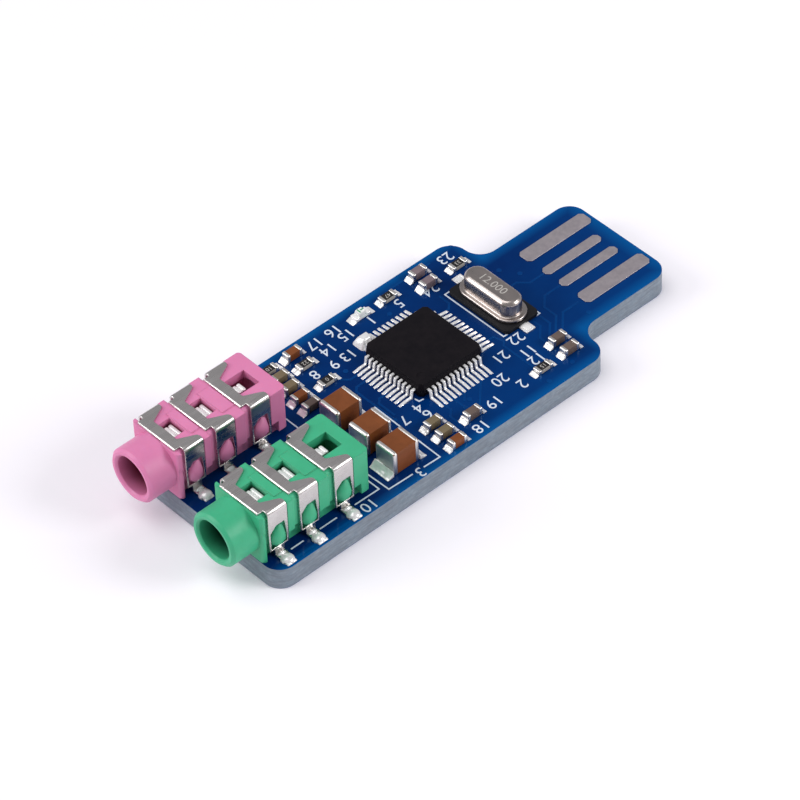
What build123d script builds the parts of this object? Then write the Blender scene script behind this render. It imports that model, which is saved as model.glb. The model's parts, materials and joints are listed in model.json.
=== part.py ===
# A sound adapter on a bare circuit board: two audio jacks at one end, a codec chip with its
# crystal and small parts in the middle, and a plug tongue cut from the board at the other end.
# Millimetres. X runs from the jack mouths to the plug tongue, Y towards the microphone jack
# and Z up. The origin is on the board's underside, below the middle of the whole thing.
import os

from build123d import *

os.makedirs("parts", exist_ok=True)

# Circuit board, seen from above as a wide card with a narrow tongue
board_length = 46.9
board_width = 19.0
board_thickness = 2.2
tongue_length = 10.55
tongue_width = 12.0
jack_end_corner_r = 1.6
shoulder_corner_share = 0.485  # of the step from the tongue's side to the board's
tongue_root_share = 0.5
tongue_corner_r = 1.6
stub_r = 0.4  # what is left of the bridge that held the board in its panel
stub_inset = 0.75

# Plug contacts on the tongue, the outer two longer so that power meets first
contact_thickness = 0.08
contact_tip_margin = 0.4
contact_corner_cut = 0.3
power_contact_length = 7.45
power_contact_width = 1.5
power_contact_y = 3.5
data_contact_length = 6.45
data_contact_width = 1.0
data_contact_y = 1.0

# Moulded jack housings
jack_spacing = 9.9
jack_length = 11.4
jack_height = 4.9
jack_width = 5.7
front_flange = 0.4
core_width = 5.2
keel_width = 4.3
keel_height = 1.65
core_shoulder_r = 0.45
housing_edge_r = 0.35
barrel_length = 2.7
barrel_wall = 0.7
barrel_rim = 0.25
bore_diameter = 3.6
bore_depth = 13.5
bore_lead_in = 0.2
rear_tab_length = 0.95
rear_tab_height = 0.5
land_height = 0.1
land_margin = 0.1
land_width = 3.0
peg_diameter = 1.2
peg_length = 1.7
peg_gap = 0.08
peg_front_x = 2.2
peg_rear_x = 8.8

# Spring contacts bent from sheet, three to a jack, each a saddle over the housing
spring_x = (0.12, 3.4, 7.1)
spring_length = 2.6
spring_thickness = 0.22
spring_bend_r = 0.3
spring_gap = 0.04  # between a spring's walls and the housing's core
strap_length = 1.0
strap_half = 2.25
corner_notch = 0.6
arm_root_half = 1.4
arm_tip_half = 2.2
wall_bottom = 0.8
leg_width = 1.0
foot_length = 1.15
well_width = 1.95
well_length = 1.25
tip_well_length = 2.15
tongue_dip = 0.2  # how far a contact tongue reaches into the bore
tongue_rise = 0.48
tongue_dip_share = 0.42  # of the well, from the strap to the lowest point
tongue_tip_share = 0.85
contact_tongue_width = 1.3
tip_tongue_width = 0.8
latch_r = 0.72
latch_height = 1.75
latch_apex = 3.2
latch_lean = 0.55
latch_bulge = 0.28
latch_depth = 0.5
latch_clearance = 0.1
window_corner = 0.6

# Solder round the spring feet
joint_height = 0.17
joint_margin = 0.3
joint_toe = 0.42
joint_taper = 35

# Codec chip in a flat square package
chip_share = 0.541  # of the way from the jacks' rear ends to the shoulders
chip_y = 0.55
chip_size = 7.0
chip_height = 1.5
chip_standoff = 0.1
chip_corner_cut = 0.35
chip_draft = 10
frame_band = 0.16
lead_count = 12
lead_spacing = 0.5
lead_width = 0.24
lead_thickness = 0.14
lead_shoulder = 0.4
lead_reach = 1.0
lead_foot = 0.5
lead_toe_joint = 0.8
lead_joint_width = 0.28
pin_dimple_r = 0.4
pin_dimple_depth = 0.05
pin_dimple_inset = 0.95
bridge_length = 1.75
bridge_width = 1.5
bridge_height = 0.75
bridge_corner_r = 0.35
bridge_taper = 30
bridge_x = -2.2
bridge_y = 4.75

# Crystal: a drawn can on a plastic seat, with a flat lead out at each end
crystal_setback = 8.55  # from the chip's middle
crystal_y = 1.25
can_length = 6.0
can_width = 2.2
can_height = 2.3
can_crown = 0.28
flange_length = 6.9
flange_width = 2.95
flange_thickness = 0.35
seat_length = 7.2
seat_width = 3.8
seat_thickness = 0.4
seat_corner_r = 0.5
crystal_lead_width = 0.6
crystal_lead_thickness = 0.15
crystal_lead_length = 1.8
crystal_lead_reach = 0.75
crystal_joint_margin = 0.2

# Chip capacitors and resistors: a ceramic body with plated caps on both ends
cap_length = 1.6
cap_width = 0.8
cap_height = 0.8
resistor_height = 0.46
large_length = 2.8
large_width = 2.25
large_height = 2.4
end_band = 0.35
large_end_band = 0.45
plating = 0.03
fillet_reach = 0.48
large_fillet_reach = 0.8
fillet_height_share = 0.5
large_fillet_share = 0.25
fillet_hollow = 0.43  # 0.5 is a flat slope, less is hollower
pad_overhang = 0.05

# Indicator lamp
lamp_offset = -0.3  # from the chip's middle
lamp_inset = 1.6  # from the side of the board
lamp_height = 0.35
lens_height = 0.35
lens_gap = 0.05  # between the lens and the plated ends
lens_draft = 12

# What the sizes above fix along and across the board
shoulder_x = board_length - tongue_length
shoulder_step = (board_width - tongue_width) / 2
side_y = board_width / 2
barrel_diameter = bore_diameter + 2 * barrel_wall
bore_axis = barrel_diameter / 2
chip_x = jack_length + chip_share * (shoulder_x - jack_length)
crystal_x = chip_x + crystal_setback
lamp_x = chip_x + lamp_offset
lamp_y = side_y - lamp_inset

# Centres of the small parts, from the jack end of the board and from its middle. Those near the
# jacks follow the jacks' rear ends, the others follow the chip, and the outer rows the sides.
small_capacitors = {
    "small_capacitor_1": (jack_length + 5.9, side_y - 1.3),
    "small_capacitor_2": (jack_length + 3.3, side_y - 2.7),
    "small_capacitor_3": (jack_length + 3.15, side_y - 4.1),
    "small_capacitor_4": (jack_length + 3.0, side_y - 5.5),
    "small_capacitor_5": (jack_length + 3.0, side_y - 6.85),
    "small_capacitor_6": (chip_x + 6.4, side_y - 1.35),
    "small_capacitor_7": (chip_x + 6.2, side_y - 2.85),
    "small_capacitor_8": (chip_x + 9.2, 3.75 - side_y),
    "small_capacitor_9": (chip_x + 9.1, 2.25 - side_y),
    "small_capacitor_10": (jack_length + 11.7, 2.3 - side_y),
    "small_capacitor_11": (jack_length + 8.65, 3.7 - side_y),
    "small_capacitor_12": (jack_length + 8.65, 2.3 - side_y),
    "small_capacitor_13": (jack_length + 8.65, 0.85 - side_y),
}
resistors = {
    "resistor_1": (jack_length + 3.3, side_y - 1.3),
    "resistor_2": (jack_length + 5.9, side_y - 2.85),
    "resistor_3": (jack_length + 5.9, side_y - 5.55),
    "resistor_4": (chip_x + 2.7, side_y - 1.65),
    "resistor_5": (crystal_x + 1.05, 6.7),
    "resistor_6": (chip_x + 6.1, 2.25 - side_y),
}
large_capacitors = {
    "large_capacitor_1": (jack_length + 3.8, -0.12),
    "large_capacitor_2": (jack_length + 3.8, -3.62),
    "large_capacitor_3": (jack_length + 3.9, -6.75),
}

# The board's own place in the frame of the whole
edge_x = barrel_length - (board_length + barrel_length) / 2
board_top = Plane(origin=(edge_x, 0, board_thickness))
jacks = (("pink", jack_spacing / 2), ("green", -jack_spacing / 2))


def long_plane(y):
    """Upright plane along the board at y. Its sketches are in x and height, and it faces -Y."""
    return Plane(origin=(edge_x, y, board_thickness), x_dir=(1, 0, 0), z_dir=(0, -1, 0))


def cross_plane(x, y):
    """Upright plane across the board at x. Its sketches are in y and height, and it faces +X."""
    return Plane(origin=(edge_x + x, y, board_thickness), x_dir=(0, 1, 0), z_dir=(1, 0, 0))


def keep(part, label):
    """Name a finished piece and write its file."""
    part.label = label
    export_step(part, f"parts/{label}.step")


# Circuit board
with BuildPart() as board:
    with BuildSketch(board_top) as outline:
        with Locations((shoulder_x / 2, 0)):
            Rectangle(shoulder_x, board_width)
        with Locations(((shoulder_x + board_length) / 2, 0)):
            Rectangle(tongue_length, tongue_width)
        fillet(outline.vertices().group_by(Axis.X)[0], jack_end_corner_r)
        fillet(outline.vertices().group_by(Axis.X)[-1], tongue_corner_r)
        shoulder_corner_r = shoulder_step * shoulder_corner_share
        fillet(outline.vertices().group_by(Axis.Y)[0].sort_by(Axis.X)[-1], shoulder_corner_r)
        fillet(outline.vertices().group_by(Axis.Y)[-1].sort_by(Axis.X)[-1], shoulder_corner_r)
        roots = [v for v in outline.vertices() if abs(abs(v.Y) - tongue_width / 2) < 1e-6]
        fillet(ShapeList(roots).group_by(Axis.X)[0], shoulder_step * tongue_root_share)
        with Locations((shoulder_x - stub_inset, side_y - stub_inset)):
            Circle(stub_r)
    extrude(amount=-board_thickness)
    with BuildSketch(board_top):
        for name, jack_y in jacks:
            with Locations((peg_front_x, jack_y), (peg_rear_x, jack_y)):
                Circle(peg_diameter / 2 + peg_gap)
    extrude(amount=-board_thickness, mode=Mode.SUBTRACT)
keep(board.part, "circuit_board")

# Plug contacts
contact_root = board_length - contact_tip_margin - power_contact_length
for name, y, length, width in (
    ("power", power_contact_y, power_contact_length, power_contact_width),
    ("data_plus", data_contact_y, data_contact_length, data_contact_width),
    ("data_minus", -data_contact_y, data_contact_length, data_contact_width),
    ("ground", -power_contact_y, power_contact_length, power_contact_width),
):
    with BuildPart() as contact:
        with BuildSketch(board_top) as plate:
            with Locations((contact_root + length / 2, y)):
                Rectangle(length, width)
            chamfer(plate.vertices(), contact_corner_cut)
        extrude(amount=contact_thickness)
    keep(contact.part, f"{name}_contact")

# Sizes that the housings, springs and solder share
spring_wall = core_width / 2 + spring_gap + spring_thickness / 2
spring_outer = spring_wall + spring_thickness / 2
spring_roof = jack_height + spring_thickness / 2
spring_sole = spring_thickness / 2
foot_end = spring_outer + foot_length
lengths = {"sleeve": well_length, "ring": well_length, "tip": tip_well_length}
wells = [(x + strap_length, n) for x, n in zip(spring_x, lengths.values())]
wall_middle = (corner_notch + spring_length) / 2
latch_rise = latch_apex - latch_height
window_half = latch_r + latch_clearance
window_rise = latch_rise + latch_clearance

for colour, jack_y in jacks:
    # Housing: a core with a narrow keel, ribs between the springs, and the round barrel
    with BuildPart() as housing:
        with BuildSketch(cross_plane(0, jack_y)) as section:
            with Locations((0, (jack_height + keel_height) / 2)):
                Rectangle(core_width, jack_height - keel_height)
            fillet(section.vertices().group_by(Axis.Y)[-1], core_shoulder_r)
            with Locations((0, jack_height / 4)):
                Rectangle(keel_width, jack_height / 2)
        extrude(amount=jack_length)
        with BuildSketch(long_plane(jack_y)):
            with Locations((front_flange / 2, jack_height / 2)):
                Rectangle(front_flange, jack_height)
            rib_height = jack_height - keel_height
            for ahead, behind in zip(spring_x[1:], spring_x[:-1]):
                rib_start = behind + spring_length + spring_gap
                with Locations(((rib_start + ahead) / 2, keel_height + rib_height / 2)):
                    Rectangle(ahead - rib_start, rib_height)
            rear_start = spring_x[-1] + spring_length + spring_gap
            with Locations(((rear_start + jack_length) / 2, keel_height + rib_height / 2)):
                Rectangle(jack_length - rear_start, rib_height)
            tab_height = keel_height - rear_tab_height
            with Locations((jack_length - rear_tab_length / 2, rear_tab_height + tab_height / 2)):
                Rectangle(rear_tab_length, tab_height)
        extrude(amount=jack_width / 2, both=True)
        outer_corners = housing.edges().filter_by(Axis.Z).filter_by(
            lambda edge: abs(abs(edge.center().Y - jack_y) - jack_width / 2) < 1e-4
        )
        fillet(outer_corners.group_by(Axis.X)[0] + outer_corners.group_by(Axis.X)[-1], housing_edge_r)
        with BuildSketch(cross_plane(0, jack_y)):
            with Locations((0, bore_axis)):
                Circle(barrel_diameter / 2)
        extrude(amount=-barrel_length)
        chamfer(housing.faces().sort_by(Axis.X)[0].edges(), barrel_rim)
        with BuildSketch(board_top.offset(jack_height)):
            for start, length in wells:
                with Locations((start + length / 2, jack_y)):
                    Rectangle(length, well_width)
        extrude(amount=bore_axis - jack_height, mode=Mode.SUBTRACT)
        with BuildSketch(cross_plane(-barrel_length, jack_y)):
            with Locations((0, bore_axis)):
                Circle(bore_diameter / 2)
        extrude(amount=bore_depth, mode=Mode.SUBTRACT)
        mouth = housing.faces().sort_by(Axis.X)[0].edges().sort_by(SortBy.RADIUS)[0]
        chamfer(mouth, bore_lead_in)
        # Low lands between the straps, stopping short of the next strap
        with BuildSketch(board_top.offset(jack_height)):
            for (start, length), ahead in zip(wells[:-1], spring_x[1:]):
                land_start = start + length + land_margin
                land_length = ahead - land_margin - land_start
                with Locations((land_start + land_length / 2, jack_y - land_margin)):
                    Rectangle(land_length, land_width)
        extrude(amount=land_height)
        # Latches that the springs snap over, ramped from nothing at the top
        for side in (1, -1):
            with BuildSketch(long_plane(jack_y - side * core_width / 2)):
                # A round foot drawn up to a point that leans towards the plug
                for x in (start + wall_middle for start in spring_x):
                    with BuildLine():
                        ThreePointArc(
                            (x - latch_r, latch_height),
                            (x, latch_height - latch_r),
                            (x + latch_r, latch_height),
                        )
                        Line((x + latch_r, latch_height), (x + latch_lean, latch_apex))
                        SagittaArc((x + latch_lean, latch_apex), (x - latch_r, latch_height), latch_bulge)
                    make_face()
            extrude(amount=side * latch_depth)
            latch_root = side * core_width / 2
            latch_face = side * (core_width / 2 + latch_depth)
            for x in spring_x:
                with BuildSketch(cross_plane(x, jack_y)):
                    Polygon(
                        (latch_root, latch_apex),
                        (latch_face, latch_apex),
                        (latch_face, latch_height),
                        align=None,
                    )
                extrude(amount=spring_length, mode=Mode.SUBTRACT)
        # Locating pegs
        with BuildSketch(board_top):
            with Locations((peg_front_x, jack_y), (peg_rear_x, jack_y)):
                Circle(peg_diameter / 2)
        extrude(amount=-peg_length)
    keep(housing.part, f"{colour}_jack_housing")

    for start, name in zip(spring_x, lengths):
        # Spring: foot, wall, strap, wall and foot in one bent sheet
        with BuildPart() as spring:
            with BuildSketch(cross_plane(start, jack_y)):
                with BuildLine():
                    FilletPolyline(
                        (-spring_wall, 0),
                        (-spring_wall, spring_roof),
                        (spring_wall, spring_roof),
                        (spring_wall, 0),
                        radius=spring_bend_r,
                    )
                    Line((-foot_end, spring_sole), (-spring_wall, spring_sole))
                    Line((spring_wall, spring_sole), (foot_end, spring_sole))
                trace(line_width=spring_thickness)
            extrude(amount=spring_length)
            # Everything below the walls goes but the legs
            with BuildSketch(long_plane(jack_y)):
                for from_x, to_x in (
                    (start, start + wall_middle - leg_width / 2),
                    (start + wall_middle + leg_width / 2, start + spring_length),
                ):
                    with Locations(((from_x + to_x) / 2, 0)):
                        Rectangle(to_x - from_x, 2 * wall_bottom)
                # Window round the latch
                with Locations((start + wall_middle, latch_height)):
                    Polygon(
                        (-window_half, -window_half),
                        (window_half, -window_half),
                        (window_half, 0),
                        (latch_lean + latch_clearance, window_rise),
                        (window_corner - window_half, window_rise),
                        (-window_half, window_rise - window_corner),
                        align=None,
                    )
            extrude(amount=foot_end + spring_thickness, both=True, mode=Mode.SUBTRACT)
            # Notched corners in front and the gap that leaves two slanted arms
            with BuildSketch(board_top.offset(jack_height + 2 * spring_thickness)):
                notch_width = foot_end - strap_half
                notch_middle = strap_half + notch_width / 2
                for hand in (1, -1):
                    with Locations((start + corner_notch / 2, jack_y + hand * notch_middle)):
                        Rectangle(corner_notch, notch_width)
            extrude(amount=-jack_height - 3 * spring_thickness, mode=Mode.SUBTRACT)
            with BuildSketch(board_top.offset(jack_height + 2 * spring_thickness)):
                Polygon(
                    (start + strap_length, jack_y - arm_root_half),
                    (start + spring_length, jack_y - arm_tip_half),
                    (start + spring_length, jack_y + arm_tip_half),
                    (start + strap_length, jack_y + arm_root_half),
                    align=None,
                )
            extrude(amount=-3 * spring_thickness, mode=Mode.SUBTRACT)
            # Contact tongue, dipping into the bore and rising again
            tip_z = bore_axis + bore_diameter / 2 - tongue_dip
            with BuildSketch(long_plane(jack_y)):
                with BuildLine():
                    Polyline(
                        (start + strap_length - 3 * spring_thickness, jack_height),
                        (start + strap_length + spring_thickness, jack_height),
                        (start + strap_length + tongue_dip_share * well_length, tip_z),
                        (start + strap_length + tongue_tip_share * well_length, tip_z + tongue_rise),
                    )
                    offset(amount=spring_thickness, kind=Kind.INTERSECTION, side=Side.LEFT)
                make_face()
            width = tip_tongue_width if name == "tip" else contact_tongue_width
            extrude(amount=width / 2, both=True)
        keep(spring.part, f"{colour}_{name}_spring")

    # Solder round the six feet
    with BuildPart() as joints:
        with BuildSketch(board_top):
            for start in spring_x:
                for hand in (1, -1):
                    joint_length = foot_length + joint_toe - spring_bend_r
                    middle = spring_outer + spring_bend_r + joint_length / 2
                    with Locations((start + wall_middle, jack_y + hand * middle)):
                        Rectangle(leg_width + 2 * joint_margin, joint_length)
        extrude(amount=joint_height, taper=joint_taper)
        with BuildSketch(board_top):
            for start in spring_x:
                with Locations((start + wall_middle, jack_y)):
                    Rectangle(leg_width, 2 * foot_end)
        extrude(amount=joint_height, mode=Mode.SUBTRACT)
    keep(joints.part, f"{colour}_jack_solder")

# Codec chip
chip_plane = Plane(origin=board_top.from_local_coords((chip_x, chip_y, 0)))
band_bottom = chip_standoff + (chip_height - chip_standoff - frame_band) / 2
with BuildPart() as chip:
    with BuildSketch(chip_plane.offset(band_bottom)) as band:
        Rectangle(chip_size, chip_size)
        chamfer(band.vertices(), chip_corner_cut)
    extrude(amount=frame_band)
    extrude(chip.faces().sort_by(Axis.Z)[-1], amount=chip_height - band_bottom - frame_band, taper=chip_draft)
    extrude(chip.faces().sort_by(Axis.Z)[0], amount=band_bottom - chip_standoff, taper=chip_draft)
    with BuildSketch(chip_plane.offset(chip_height)):
        dimple = chip_size / 2 - pin_dimple_inset
        with Locations((-dimple, -dimple)):
            Circle(pin_dimple_r)
    extrude(amount=-pin_dimple_depth, mode=Mode.SUBTRACT)
keep(chip.part, "codec_chip")

# One gull-wing lead and one toe of solder, at the middle of the side that faces +X
lead_bottom = band_bottom + (frame_band - lead_thickness) / 2
side_x = chip_size / 2
toe_x = side_x + lead_reach
heel_x = toe_x - lead_foot
with BuildPart() as lead:
    with BuildSketch(Plane.XZ):
        Polygon(
            (side_x, lead_bottom),
            (side_x + lead_shoulder - lead_thickness, lead_bottom),
            (heel_x - lead_thickness, 0),
            (toe_x, 0),
            (toe_x, lead_thickness),
            (heel_x, lead_thickness),
            (side_x + lead_shoulder, lead_bottom + lead_thickness),
            (side_x, lead_bottom + lead_thickness),
            align=None,
        )
    extrude(amount=lead_width / 2, both=True)
with BuildPart() as toe:
    with BuildSketch(Plane.XZ):
        Polygon((toe_x, lead_thickness), (toe_x, 0), (toe_x + lead_toe_joint, 0), align=None)
    extrude(amount=lead_joint_width / 2, both=True)

for turn, name in enumerate(("plug_side", "microphone_side", "jack_side", "headphone_side")):
    with BuildPart() as row:
        with Locations(chip_plane.location * Location((0, 0, 0), (0, 0, 90 * turn))):
            with GridLocations(0, lead_spacing, 1, lead_count):
                add(lead.part)
    keep(row.part, f"chip_leads_{name}")

with BuildPart() as chip_solder:
    for turn in range(4):
        with Locations(chip_plane.location * Location((0, 0, 0), (0, 0, 90 * turn))):
            with GridLocations(0, lead_spacing, 1, lead_count):
                add(toe.part)
    # A blob has run across the first three leads on the microphone side
    with BuildSketch(chip_plane):
        with Locations((bridge_x, bridge_y)):
            RectangleRounded(bridge_length, bridge_width, bridge_corner_r)
    extrude(amount=bridge_height, taper=bridge_taper)
    with Locations(chip_plane.location * Location((0, 0, 0), (0, 0, 90))):
        with GridLocations(0, lead_spacing, 1, lead_count):
            add(lead.part, mode=Mode.SUBTRACT)
keep(chip_solder.part, "chip_solder")

# Crystal
crystal_plane = Plane(origin=board_top.from_local_coords((crystal_x, crystal_y, 0)), x_dir=(0, 1, 0))
lead_middle = seat_length / 2 + crystal_lead_reach - crystal_lead_length / 2
with BuildPart() as can:
    with BuildSketch(crystal_plane.offset(seat_thickness)):
        SlotOverall(flange_length, flange_width)
    extrude(amount=flange_thickness)
    with BuildSketch(crystal_plane.offset(seat_thickness)):
        SlotOverall(can_length, can_width)
    extrude(amount=can_height - seat_thickness)
    chamfer(can.faces().sort_by(Axis.Z)[-1].edges(), can_crown)
keep(can.part, "crystal_can")

with BuildPart() as crystal_leads:
    with BuildSketch(crystal_plane):
        with Locations((lead_middle, 0), (-lead_middle, 0)):
            Rectangle(crystal_lead_length, crystal_lead_width)
    extrude(amount=crystal_lead_thickness)
keep(crystal_leads.part, "crystal_leads")

with BuildPart() as seat:
    with BuildSketch(crystal_plane):
        RectangleRounded(seat_length, seat_width, seat_corner_r)
    extrude(amount=seat_thickness)
    add(crystal_leads.part, mode=Mode.SUBTRACT)
keep(seat.part, "crystal_seat")

with BuildPart() as crystal_solder:
    with BuildSketch(crystal_plane):
        joint_length = crystal_lead_reach + crystal_joint_margin
        joint_middle = (seat_length + joint_length) / 2
        with Locations((joint_middle, 0), (-joint_middle, 0)):
            Rectangle(joint_length, crystal_lead_width + 2 * crystal_joint_margin)
    extrude(amount=crystal_lead_thickness)
    add(crystal_leads.part, mode=Mode.SUBTRACT)
keep(crystal_solder.part, "crystal_solder")


def ceramic(x, y, length, width, height):
    """Body of a chip part: a plain brick that the plating lifts off the board."""
    with BuildPart() as body:
        with Locations(board_top.location * Location((x, y, height / 2))):
            Box(length - 2 * plating, width - 2 * plating, height - 2 * plating)
    return body.part


def end_caps(places, length, width, height, band):
    """Plated caps over both ends of every chip part in places."""
    with BuildPart() as caps:
        for x, y in places:
            with Locations(board_top.location * Location((x, y, height / 2))):
                Box(length, width, height)
                Box(length - 2 * band, width, height, mode=Mode.SUBTRACT)
                Box(
                    length - 2 * plating,
                    width - 2 * plating,
                    height - 2 * plating,
                    mode=Mode.SUBTRACT,
                )
    return caps.part


def end_fillets(places, length, width, height, reach, share=fillet_height_share):
    """Hollow-faced solder fillets from the board up both ends of every chip part in places."""
    end = length / 2
    top = height * share
    with BuildPart() as fillets:
        for x, y in places:
            for hand in (1, -1):
                with BuildSketch(long_plane(y)):
                    with BuildLine():
                        Polyline((x + hand * end, top), (x + hand * end, 0), (x + hand * (end + reach), 0))
                        ThreePointArc(
                            (x + hand * (end + reach), 0),
                            (x + hand * (end + reach * fillet_hollow), top * fillet_hollow),
                            (x + hand * end, top),
                        )
                    make_face()
                extrude(amount=width / 2 + pad_overhang, both=True)
    return fillets.part


for name, (x, y) in small_capacitors.items():
    keep(ceramic(x, y, cap_length, cap_width, cap_height), name)
for name, (x, y) in resistors.items():
    keep(ceramic(x, y, cap_length, cap_width, resistor_height), name)
for name, (x, y) in large_capacitors.items():
    keep(ceramic(x, y, large_length, large_width, large_height), name)

cap_places = list(small_capacitors.values())
resistor_places = list(resistors.values())
large_places = list(large_capacitors.values())
keep(end_caps(cap_places, cap_length, cap_width, cap_height, end_band), "small_capacitor_ends")
keep(end_caps(resistor_places, cap_length, cap_width, resistor_height, end_band), "resistor_ends")
keep(
    end_caps(large_places, large_length, large_width, large_height, large_end_band),
    "large_capacitor_ends",
)
keep(
    end_fillets(cap_places, cap_length, cap_width, cap_height, fillet_reach),
    "small_capacitor_solder",
)
keep(
    end_fillets(resistor_places, cap_length, cap_width, resistor_height, fillet_reach),
    "resistor_solder",
)
keep(
    end_fillets(
        large_places,
        large_length,
        large_width,
        large_height,
        large_fillet_reach,
        large_fillet_share,
    ),
    "large_capacitor_solder",
)

# Indicator lamp: a white brick with plated ends under a clear lens
lamp_plane = Plane(origin=board_top.from_local_coords((lamp_x, lamp_y, 0)))
keep(ceramic(lamp_x, lamp_y, cap_length, cap_width, lamp_height), "lamp_body")
lamp_place = [(lamp_x, lamp_y)]
keep(end_caps(lamp_place, cap_length, cap_width, lamp_height, end_band), "lamp_ends")
keep(end_fillets(lamp_place, cap_length, cap_width, lamp_height, fillet_reach), "lamp_solder")
with BuildPart() as lens:
    with BuildSketch(lamp_plane.offset(lamp_height - plating)):
        Rectangle(cap_length - 2 * (end_band + lens_gap), cap_width - 2 * plating)
    extrude(amount=lens_height + plating, taper=lens_draft)
keep(lens.part, "lamp_lens")
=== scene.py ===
"""A usb audio interface on a bare circuit board, finished and lit as for a studio picture.

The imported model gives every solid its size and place. This script rounds the edges that a real
piece has rounded, gives each piece its finish, lays on what is printed or etched on the board,
and sets the floor, the lights and the camera. Lengths are in metres, and MM is a millimetre.
"""

import json
import logging
import math
from collections.abc import Callable, Iterator
from contextlib import contextmanager
from dataclasses import dataclass
from enum import Enum

import bpy
from mathutils import Matrix, Quaternion, Vector

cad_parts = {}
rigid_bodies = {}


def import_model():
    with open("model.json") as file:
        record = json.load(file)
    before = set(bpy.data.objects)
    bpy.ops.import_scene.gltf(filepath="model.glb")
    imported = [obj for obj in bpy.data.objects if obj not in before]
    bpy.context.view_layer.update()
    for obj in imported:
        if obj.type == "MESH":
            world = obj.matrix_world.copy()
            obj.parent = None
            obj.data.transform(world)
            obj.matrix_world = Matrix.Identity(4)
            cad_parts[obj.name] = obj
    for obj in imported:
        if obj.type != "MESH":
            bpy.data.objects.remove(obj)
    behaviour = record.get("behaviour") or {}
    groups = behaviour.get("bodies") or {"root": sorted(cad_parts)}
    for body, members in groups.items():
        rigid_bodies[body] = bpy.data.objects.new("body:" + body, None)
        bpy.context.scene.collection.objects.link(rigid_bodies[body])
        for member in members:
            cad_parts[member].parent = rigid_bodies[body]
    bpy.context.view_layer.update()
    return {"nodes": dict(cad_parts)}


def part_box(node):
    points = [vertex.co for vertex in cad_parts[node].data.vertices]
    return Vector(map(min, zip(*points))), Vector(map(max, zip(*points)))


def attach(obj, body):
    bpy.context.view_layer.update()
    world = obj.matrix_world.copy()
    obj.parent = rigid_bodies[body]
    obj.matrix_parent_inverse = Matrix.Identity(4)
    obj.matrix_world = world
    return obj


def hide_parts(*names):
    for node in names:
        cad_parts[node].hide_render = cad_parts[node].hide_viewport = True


MM = 0.001
BODY = "root"
LOG = logging.getLogger("usb_audio_interface")

# Corners closer than this are welded, and faces that turn by less than this are made one
WELD = 0.001 * MM
FLAT = math.radians(0.5)
# How far a corner may lie from the line that it is looked for on
CLOSE = 0.01 * MM
# Thickness of the metal on the parts' ends, and the share of a text's size that a digit fills
PLATING = 0.03 * MM
DIGIT_SHARE = 0.73
# Faces that meet at more than this keep a crisp edge in the shading, by how soft the piece is
CRISP, SOFT, MELTED = (math.radians(angle) for angle in (40.0, 50.0, 60.0))

Three = tuple[float, float, float]
Two = tuple[float, float]
Piece = bpy.types.Object
Socket = bpy.types.NodeSocket


class Reading(Enum):
    """How far a number is turned about Z, in degrees, by where it is read from."""

    FROM_PLUG = 180.0
    FROM_SIDE = -90.0


class Tree:
    """A node tree that is being laid out."""

    def __init__(self, tree: bpy.types.NodeTree) -> None:
        """Start from an empty tree."""
        self.tree = tree
        self.tree.nodes.clear()

    def feed(self, socket: Socket, value: object) -> None:
        """Link an input from an output, or set it to a value.

        Args:
            socket: The input.
            value: The output that it is linked from, or its value.
        """
        if isinstance(value, Socket):
            self.tree.links.new(value, socket)
        else:
            socket.default_value = value

    def add(self, kind: str, *inputs: object, **settings: object) -> bpy.types.Node:
        """Add one node.

        Args:
            kind: Blender's name of the node type.
            *inputs: Its first inputs in order, each a value or the output that it is linked from.
            **settings: Its properties by name, and its inputs by name with spaces as _.

        Returns:
            The new node.
        """
        node = self.tree.nodes.new(kind)
        for key, value in settings.items():
            if hasattr(node, key):
                setattr(node, key, value)
            else:
                self.feed(node.inputs[key.replace("_", " ")], value)
        for socket, value in zip(node.inputs, inputs):
            self.feed(socket, value)
        return node

    def math(self, operation: str, *values: object) -> Socket:
        """Work out a number."""
        return self.add("ShaderNodeMath", *values, operation=operation).outputs[0]

    def vector(self, operation: str, *values: object) -> Socket:
        """Work out a vector, or a vector's length."""
        node = self.add("ShaderNodeVectorMath", *values, operation=operation)
        return node.outputs["Value" if operation == "LENGTH" else "Vector"]

    def span(self, value: Socket, low: float, high: float, *ends: object) -> Socket:
        """Map a value from one range to another, 0 to 1 where no ends are given."""
        return self.add("ShaderNodeMapRange", value, low, high, *ends).outputs[0]

    def noise(self, place: Socket, scale: object, detail: float, roughness: float) -> Socket:
        """Add a noise and give its value."""
        return self.add(
            "ShaderNodeTexNoise", Vector=place, Scale=scale, Detail=detail, Roughness=roughness
        ).outputs["Fac"]

    def effect(self, group: bpy.types.NodeTree, place: Socket, **values: object) -> Socket:
        """Place a shared effect and give its result."""
        node = self.add("ShaderNodeGroup", node_tree=group, Vector=place, **values)
        return node.outputs[0]

    def blend(self, kind: str, factor: Socket, first: object, second: object) -> Socket:
        """Mix two values or colours.

        Args:
            kind: FLOAT or RGBA.
            factor: How much of the second there is.
            first: The first value or colour.
            second: The second one.

        Returns:
            The mixture.
        """
        start, end = {"FLOAT": (2, 0), "RGBA": (6, 2)}[kind]
        mix = self.add("ShaderNodeMix", factor, data_type=kind)
        self.feed(mix.inputs[start], first)
        self.feed(mix.inputs[start + 1], second)
        return mix.outputs[end]


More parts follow.
